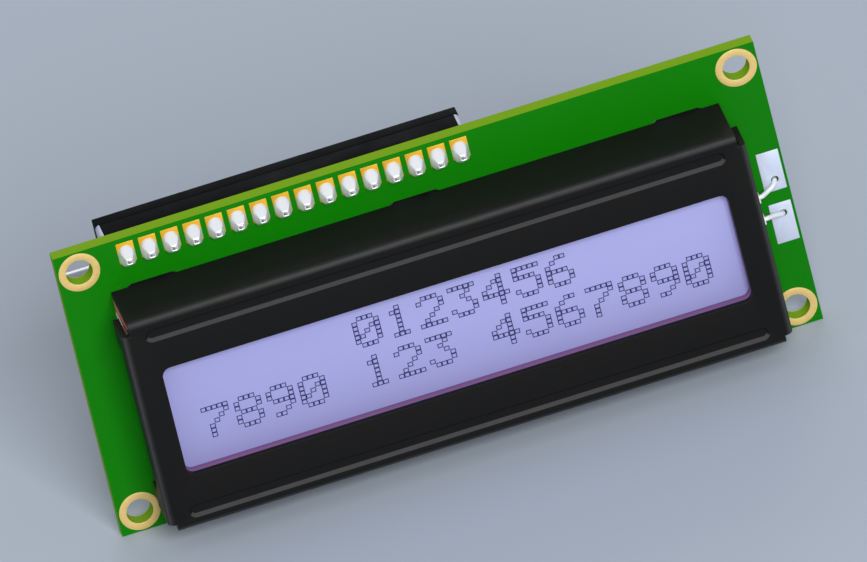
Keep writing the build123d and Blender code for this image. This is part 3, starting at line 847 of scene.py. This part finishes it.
class DISPLAYMODULE_OT_solder_joints(bpy.types.Operator):
    """Makes the sixteen solder joints, from an oval foot to a square tip round each tail"""

    bl_idname = "display_module.solder_joints"
    bl_label = "Solder joints"

    def execute(self, context):
        solder = context.scene.display_module.solder
        chance = random.Random(7)
        shapes = [self.joint(solder, x, y, chance) for x, y in node_centres("solder_joints")]
        metal = surface("bright_solder", solder.colour)
        add_shape("solder_cones", join_shapes(shapes), metal, ["solder_joints"])
        return {"FINISHED"}

    def joint(self, solder, x, y, chance):
        """One joint: sides that change from an oval to a square, and a crater round the tail."""
        low, high = lying_box("solder_joints")
        height = high.z - low.z
        most_turn, most_lean = 0.03, 0.02
        turn = chance.uniform(-most_turn, most_turn)
        lean = [chance.uniform(-most_lean, most_lean) for axis in ("x", "y")]
        foot_x = solder.foot_width / 2
        foot_y = solder.foot_length / 2
        tip = solder.tip_width / 2
        # Each level: its share of the height, half its width and length, and how square it is
        levels = [(0.0, foot_x, foot_y, 0.0)]
        for step in range(solder.rings + 1):
            share = step / solder.rings
            half_x = foot_x + (tip - foot_x) * share
            half_y = foot_y + (tip - foot_y) * share
            levels.append((0.03 + 0.93 * share, half_x, half_y, share))
        crater = ((0.99, 0.95, 1.0), (1.0, 0.86, 1.0), (0.99, 0.72, 0.8), (0.9, 0.64, 0.6))
        levels += [(share, tip * size, tip * size, square) for share, size, square in crater]
        points = []
        for share, half_x, half_y, square in levels:
            # An exponent of two gives an ellipse, a large one an oblong with sharp corners
            power = 2.3 + 6 * square
            for a in round_angles(solder.sides):
                c, s = math.cos(a), math.sin(a)
                reach = 1 / (abs(c) ** power + abs(s) ** power) ** (1 / power)
                across, along = half_x * reach * c, half_y * reach * s
                out = across * math.cos(turn) - along * math.sin(turn)
                up = across * math.sin(turn) + along * math.cos(turn)
                points.append(
                    (x + lean[0] * share + out, y + lean[1] * share + up, low.z + height * share)
                )
        return points, tube_faces(points, solder.sides)


class DISPLAYMODULE_OT_socket(bpy.types.Operator):
    """Finishes the socket's base, cover, end caps and sprung contacts"""

    bl_idname = "display_module.socket"
    bl_label = "Pin socket"

    def execute(self, context):
        socket = context.scene.display_module.socket
        body = surface("socket_moulding", socket.body, dust=0.002)
        cap = surface("end_cap_moulding", socket.end_cap)
        metal = surface("contact_plating", socket.contact)
        dress("socket_base", body, socket.edge_round)
        dress("socket_cover", body, socket.edge_round)
        dress("socket_end_caps", cap, socket.edge_round)
        dress("socket_contacts", metal, 0.05)
        return {"FINISHED"}


class DISPLAYMODULE_OT_bezel(bpy.types.Operator):
    """Finishes the folded bezel with rounded sheet edges, a satin black coating and a painted
    highlight on its folds
    """

    bl_idname = "display_module.bezel"
    bl_label = "Bezel"

    def execute(self, context):
        bezel = context.scene.display_module.bezel
        # The second material paints a highlight on the folds in the worn grey
        flat, fold = [
            surface(name, bezel.colour, tuple(bezel.worn_and_highlight), wear=0.5, folds=folds, dust=0.004)
            for name, folds in (("satin_black_coating", 0.0), ("fold_highlight_coating", 1.0))
        ]
        piece = dress("bezel", flat, bezel.edge_round, 3)
        self.trim_ears(piece.data, bezel)
        self.flare_roots(piece.data, bezel)
        piece.data.materials.append(fold)
        self.mark_fold_highlight(piece.data, bezel)
        return {"FINISHED"}

    def trim_ears(self, mesh, bezel):
        """Sets the upper ears' ends a little lower and their edges a little nearer to the front."""
        ear_side = lying_box("bezel")[1].x - 1.05
        ear_foot, end_low, end_high = 7.0, 10.4, 10.95
        edge_low, edge_high = 2.7, 3.15
        for vertex in mesh.vertices:
            x, y, z = vertex.co.x / MM, vertex.co.z / MM, -vertex.co.y / MM
            if abs(x) > ear_side and end_low < y < end_high:
                vertex.co.z -= bezel.ear_drop * MM
            if abs(x) > ear_side and y > ear_foot and edge_low < z < edge_high:
                vertex.co.y -= bezel.ear_trim * MM

    def flare_roots(self, mesh, bezel):
        """Widens each locking tab where it enters its slot."""
        near_board, near_edge = 0.2, 0.15
        for vertex in mesh.vertices:
            x, z = vertex.co.x / MM, -vertex.co.y / MM
            offset = x - round(x / bezel.tab_spacing) * bezel.tab_spacing
            if abs(z) < near_board and abs(abs(offset) - bezel.tab_width / 2) < near_edge:
                vertex.co.x += math.copysign(bezel.root_flare * MM, offset)

    def mark_fold_highlight(self, mesh, bezel):
        """Gives the finish with the painted highlight to the bends round the flat front and to the
        grooves' lower walls, which face up towards the lamps.
        """
        front = min(v.co.y for v in mesh.vertices)
        level = [v.co for v in mesh.vertices if v.co.y < front + 0.00001]
        left, right = min(v.x for v in level), max(v.x for v in level)
        lowest, highest = min(v.z for v in level), max(v.z for v in level)
        middle = (lowest + highest) / 2
        for face in mesh.polygons:
            x, y, z = face.center
            outside = x < left or x > right or z < lowest or z > highest
            # Only the groove walls that face up get the painted highlight
            groove_wall = abs(z - middle) > bezel.groove_start * MM and face.normal.z > 0.3
            if (outside or groove_wall) and y < front + bezel.fold_highlight_reach * MM:
                face.material_index = 1


class DISPLAYMODULE_OT_display_cell(bpy.types.Operator):
    """Finishes the window's lining, the polarizers, the glass, the seal and the fluid layer"""

    bl_idname = "display_module.display_cell"
    bl_label = "Display cell"

    def execute(self, context):
        display = context.scene.display_module.display
        film = surface("lilac_polarizer", display.screen)
        lining = surface("mauve_lining", display.wall)
        glass = clear_material("cell_glass", (0.93, 0.95, 0.97), 1.52, 0.01, 0.04)
        fluid = clear_material("clouded_fluid", (0.62, 0.64, 0.85), 1.55, 0.2, 0.3)
        seal = surface("seal_epoxy", (0.5, 0.45, 0.3))
        for node in ("front_polarizer", "rear_polarizer"):
            dress(node, film, 0.03)
        dress("window_gasket", lining, 0.04)
        for node in ("front_glass", "rear_glass"):
            dress(node, glass, 0.08)
        dress("liquid_crystal", fluid, 0.01)
        dress("perimeter_seal", seal, 0.02)
        return {"FINISHED"}


class DISPLAYMODULE_OT_figures(bpy.types.Operator):
    """Makes the display's figures as outlined dots on the front polarizer"""

    bl_idname = "display_module.figures"
    bl_label = "Displayed figures"

    def execute(self, context):
        display = context.scene.display_module.display
        line = surface("dot_outline", display.dot_line)
        core = surface("dot_core", display.dot_core)
        face_z = lying_box("front_polarizer")[1].z
        dots = self.lit_dots(display)
        outlines = join_shapes([self.outline(display, x, y, face_z) for x, y in dots])
        cores = join_shapes([self.core(display, x, y, face_z) for x, y in dots])
        add_shape("dot_outlines", outlines, line, smooth=False)
        add_shape("dot_cores", cores, core, smooth=False)
        return {"FINISHED"}

    def lit_dots(self, display):
        """The centres of the dots that are lit."""
        dots = []
        for level, row in enumerate((display.upper_row, display.lower_row)):
            top = display.upper_y - level * display.row_pitch
            for place_in_row, figure in enumerate(row):
                if figure != " " and figure not in FIGURES:
                    raise ValueError("the display shows figures and spaces only")
                left = place_in_row * display.figure_pitch - display.first_x
                for down, lit_row in enumerate(FIGURES.get(figure, "").split()):
                    y = top - down * display.dot_pitch_y
                    for across, lit in enumerate(lit_row):
                        if lit == "1":
                            dots.append((left + across * display.dot_pitch_x, y))
        return dots

    def rectangle(self, x, y, z, half_x, half_y):
        """Four corners of a level rectangle."""
        return [(x + half_x * i, y + half_y * j, z) for i, j in CORNERS]

    def outline(self, display, x, y, face_z):
        """A thin frame, sunk a little in the polarizer and raised a little over it."""
        half_x = display.dot_pitch_x / 2
        half_y = display.dot_pitch_y / 2
        wall = display.dot_wall
        points = []
        for z in (face_z - 0.02, face_z + 0.012):
            points += self.rectangle(x, y, z, half_x, half_y)
            points += self.rectangle(x, y, z, half_x - wall, half_y - wall)
        faces = []
        for i in range(4):
            j = (i + 1) % 4
            faces.append((8 + i, 8 + j, 12 + j, 12 + i))
            faces.append((i, j, 8 + j, 8 + i))
            faces.append((4 + i, 12 + i, 12 + j, 4 + j))
            faces.append((i, 4 + i, 4 + j, j))
        return points, faces

    def core(self, display, x, y, face_z):
        """The dot inside a frame, raised half as much."""
        half_x = display.dot_pitch_x / 2 - display.dot_wall
        half_y = display.dot_pitch_y / 2 - display.dot_wall
        points = self.rectangle(x, y, face_z - 0.02, half_x, half_y)
        points += self.rectangle(x, y, face_z + 0.006, half_x, half_y)
        faces = [(0, 3, 2, 1), (4, 5, 6, 7)]
        for i in range(4):
            j = (i + 1) % 4
            faces.append((i, j, 4 + j, 4 + i))
        return points, faces


class DISPLAYMODULE_OT_elastomer_strips(bpy.types.Operator):
    """Finishes the two strips that join the glass to the board"""

    bl_idname = "display_module.elastomer_strips"
    bl_label = "Elastomer strips"

    def execute(self, context):
        backlight = context.scene.display_module.backlight
        rubber = elastomer_material("salmon_rubber", tuple(backlight.strip))
        for node in ("upper_elastomer_strip", "lower_elastomer_strip"):
            piece = dress(node, rubber, 0.06)
            low, high = lying_box(node)
            middle = (low.x + high.x) / 2 * MM
            share = 1 - 2 * backlight.strip_end_gap / (high.x - low.x)
            for vertex in piece.data.vertices:
                vertex.co.x = middle + (vertex.co.x - middle) * share
        return {"FINISHED"}


class DISPLAYMODULE_OT_backlight(bpy.types.Operator):
    """Finishes the backlight: tray, light guide, reflector, diffuser and light emitting chips"""

    bl_idname = "display_module.backlight"
    bl_label = "Backlight"

    def execute(self, context):
        backlight = context.scene.display_module.backlight
        tray = surface("white_moulding", backlight.case)
        guide = clear_material("clear_acrylic", (0.9, 0.93, 0.98), 1.49, 0.02, 0.06)
        mirror_film = surface("reflector_film", (0.9, 0.9, 0.92))
        frost = surface("frosted_film", (0.85, 0.86, 0.92))
        strip = surface("led_strip_board", (0.75, 0.76, 0.7))
        lamp = surface("led_phosphor", (0.88, 0.74, 0.25))
        dress("backlight_case", tray, 0.06)
        dress("light_guide", guide, 0.08)
        dress("reflector_sheet", mirror_film, 0.03)
        dress("diffuser_film", frost, 0.03)
        dress("led_strip", strip, 0.05)
        dress("backlight_leds", lamp, 0.08)
        return {"FINISHED"}


class DISPLAYMODULE_OT_backlight_leads(bpy.types.Operator):
    """Makes the two bent leads and the solder that holds them, and finishes their pads"""

    bl_idname = "display_module.backlight_leads"
    bl_label = "Backlight leads"

    def execute(self, context):
        backlight = context.scene.display_module.backlight
        tin = surface("tinned_wire", backlight.lead)
        pad = surface("tinned_pad", backlight.pad)
        radius = backlight.lead_diameter / 2
        boss_x = lying_box("backlight_case")[1].x
        for side in ("upper", "lower"):
            node = side + "_backlight_lead"
            low, high = lying_box(node)
            z = high.z - radius
            hole_x = high.x - radius
            start_y, end_y = low.y + radius, high.y - radius
            if side == "lower":
                start_y, end_y = end_y, start_y
            across = end_y - start_y
            run = [
                (low.x, start_y, z),
                (boss_x - 0.1, start_y, z),
                (boss_x + 0.3, start_y, z),
                (boss_x + 1.0, start_y + across * 0.2, z - 0.4),
                (hole_x - 0.35, start_y + across * 0.6, z - 0.75),
                (hole_x - 0.05, end_y, 0.35),
                (hole_x, end_y, -0.3),
                (hole_x, end_y, low.z),
            ]
            diameter = backlight.lead_diameter
            wire(side + "_lead_wire", [run], diameter, tin, [node])
        dress("backlight_lead_pads", pad, 0.03)

        low, high = lying_box("backlight_lead_solder")
        height = high.z - low.z
        mound = [(0.9, 0.0), (0.88, 0.05), (0.7, 0.2), (0.46, 0.42), (0.3, 0.55), (0.12, 0.6)]
        mound = [(r, h * height / mound[-1][1]) for r, h in mound]
        centres = node_centres("backlight_lead_solder")
        shape = join_shapes([turned(mound, 32, (x, y, high.z), True) for x, y in centres])
        metal = surface("lead_solder_metal", (0.9, 0.9, 0.91))
        add_shape("lead_solder_mounds", shape, metal, ["backlight_lead_solder"])
        return {"FINISHED"}


class DISPLAYMODULE_OT_chips(bpy.types.Operator):
    """Makes the resin domes over the two chips and finishes the chip resistors and capacitors"""

    bl_idname = "display_module.chips"
    bl_label = "Chips on the back"

    def execute(self, context):
        back = context.scene.display_module.back
        resin = surface("black_resin", back.resin, dust=0.05)
        silicon = surface("silicon", (0.09, 0.09, 0.11))
        for number, name in enumerate(("controller", "driver")):
            low, high = lying_box(name + "_blob")
            centre = ((low.x + high.x) / 2, (low.y + high.y) / 2, high.z)
            shape = self.dome(back.blob_height, centre, (high.x - low.x) / 2, number)
            add_shape(name + "_resin_dome", shape, resin, [name + "_blob"])
            dress(name + "_die", silicon, 0.03)
        glaze = surface("resistor_glaze", back.resistor)
        ceramic = surface("capacitor_ceramic", back.capacitor)
        tin = surface("chip_end_tin", back.tin)
        dress("resistor_bodies", glaze, 0.04)
        dress("capacitor_bodies", ceramic, 0.06)
        dress("resistor_ends", tin, 0.07)
        dress("capacitor_ends", tin, 0.09)
        return {"FINISHED"}

    def dome(self, height, centre, radius, number):
        """A poured dome: a low cap with a soft rim and a slightly uneven edge."""
        rings, sides = 24, 96
        rim_share, side_power, top_power = 0.985, 0.55, 0.9
        points = []
        for ring in range(rings):
            rise = ring / rings * math.pi / 2
            for a in round_angles(sides):
                uneven = 0.006 * math.sin(3 * a + number) + 0.004 * math.sin(5 * a + 2 * number)
                r = radius * (rim_share + uneven) * math.cos(rise) ** side_power
                x, y = centre[0] + r * math.cos(a), centre[1] + r * math.sin(a)
                points.append((x, y, centre[2] - height * math.sin(rise) ** top_power))
        faces = band_faces(points, sides)
        points.append((centre[0], centre[1], centre[2] - height))
        last = (rings - 1) * sides
        faces += [(last + i, last + (i + 1) % sides, len(points) - 1) for i in range(sides)]
        faces.append(tuple(range(sides)))
        return points, faces


class DISPLAYMODULE_OT_crystal(bpy.types.Operator):
    """Makes the crystal's drawn can, its two leads and the solder mask that closes their holes"""

    bl_idname = "display_module.crystal"
    bl_label = "Crystal"

    def execute(self, context):
        back = context.scene.display_module.back
        bright = surface("drawn_can_metal", back.can)
        seal = surface("plug_glass", (0.05, 0.07, 0.06))
        tin = surface("crystal_lead_tin", (0.86, 0.86, 0.88))
        low, high = lying_box("crystal_can")
        radius = (high.z - low.z) / 2
        length = high.x - low.x
        profile = [(radius * 0.55, 0.0), (radius * 0.8, 0.02)]
        for step in range(7):
            a = math.pi / 2 * step / 6
            profile.append((radius - 0.3 + 0.3 * math.sin(a), 0.32 - 0.3 * math.cos(a)))
        # The open end's rolled rim, as a step in radius and a distance from the can's end
        rim = [(0, 0.45), (0.05, 0.35), (0.05, 0.25), (0, 0.15), (0, 0.04), (0.06, 0), (0.2, 0)]
        rim += [(0.24, 0.05), (0.24, 0.3)]
        profile.append((radius, length * 0.5))
        profile += [(radius - step, length - back_by) for step, back_by in rim]
        points, faces = turned(profile, 64, (0, 0, 0))
        centre_y = (low.y + high.y) / 2
        centre_z = (low.z + high.z) / 2
        points = [(low.x + z, centre_y + x, centre_z + y) for x, y, z in points]
        add_shape("drawn_crystal_can", (points, faces), bright, ["crystal_can"])
        dress("crystal_plug", seal, 0.04)

        low, high = lying_box("crystal_leads")
        width = 0.35
        x = high.x - width / 2
        z = low.z + width / 2
        rows = (low.y + width / 2, high.y - width / 2)
        runs = [
            [(low.x, y, z), (x - 0.25, y, z), (x, y, z), (x, y, z + 0.3), (x, y, high.z)]
            for y in rows
        ]
        wire("crystal_wires", runs, width, tin, ["crystal_leads"])

        cap = [(0.46, -0.05), (0.5, -0.03), (0.5, -0.006)]
        cap += [(0.42, 0.004), (0.3, 0.009), (0.12, 0.011)]
        caps = join_shapes([turned(cap, 32, (x, y, 0)) for y in rows])
        green = bpy.data.materials["solder_mask_and_laminate"]
        add_shape("mask_over_holes", caps, green)
        return {"FINISHED"}


OPERATORS = (
    DISPLAYMODULE_OT_stage,
    DISPLAYMODULE_OT_board,
    DISPLAYMODULE_OT_solder_joints,
    DISPLAYMODULE_OT_socket,
    DISPLAYMODULE_OT_bezel,
    DISPLAYMODULE_OT_display_cell,
    DISPLAYMODULE_OT_figures,
    DISPLAYMODULE_OT_elastomer_strips,
    DISPLAYMODULE_OT_backlight,
    DISPLAYMODULE_OT_backlight_leads,
    DISPLAYMODULE_OT_chips,
    DISPLAYMODULE_OT_crystal,
)


class DISPLAYMODULE_PT_panel(bpy.types.Panel):
    """Lists the module's settings and the operators that make its pieces"""

    bl_idname = "DISPLAYMODULE_PT_panel"
    bl_label = "Display module"
    bl_space_type = "VIEW_3D"
    bl_region_type = "UI"
    bl_category = "Display module"

    def draw(self, context):
        settings = context.scene.display_module
        for part in ModuleSettings.__annotations__:
            box = self.layout.box()
            box.label(text=part.capitalize())
            group = getattr(settings, part)
            for key in type(group).__annotations__:
                box.prop(group, key)
        for operator in OPERATORS:
            self.layout.operator(operator.bl_idname)


SETTINGS = (
    BoardSettings,
    SolderSettings,
    SocketSettings,
    BezelSettings,
    DisplaySettings,
    BacklightSettings,
    BackSettings,
    StageSettings,
    ModuleSettings,
)

CLASSES = SETTINGS + OPERATORS + (DISPLAYMODULE_PT_panel,)


def register():
    """Registers the settings, the operators and the panel."""
    for cls in CLASSES:
        bpy.utils.register_class(cls)
    bpy.types.Scene.display_module = PointerProperty(type=ModuleSettings)


def unregister():
    """Takes them out again."""
    del bpy.types.Scene.display_module
    for cls in reversed(CLASSES):
        bpy.utils.unregister_class(cls)


def main():
    """Makes the whole module."""
    register()
    build_groups()
    bpy.ops.display_module.stage()
    bpy.ops.display_module.board()
    bpy.ops.display_module.solder_joints()
    bpy.ops.display_module.socket()
    bpy.ops.display_module.bezel()
    bpy.ops.display_module.display_cell()
    bpy.ops.display_module.figures()
    bpy.ops.display_module.elastomer_strips()
    bpy.ops.display_module.backlight()
    bpy.ops.display_module.backlight_leads()
    bpy.ops.display_module.chips()
    bpy.ops.display_module.crystal()


if __name__ == "__main__":
    main()
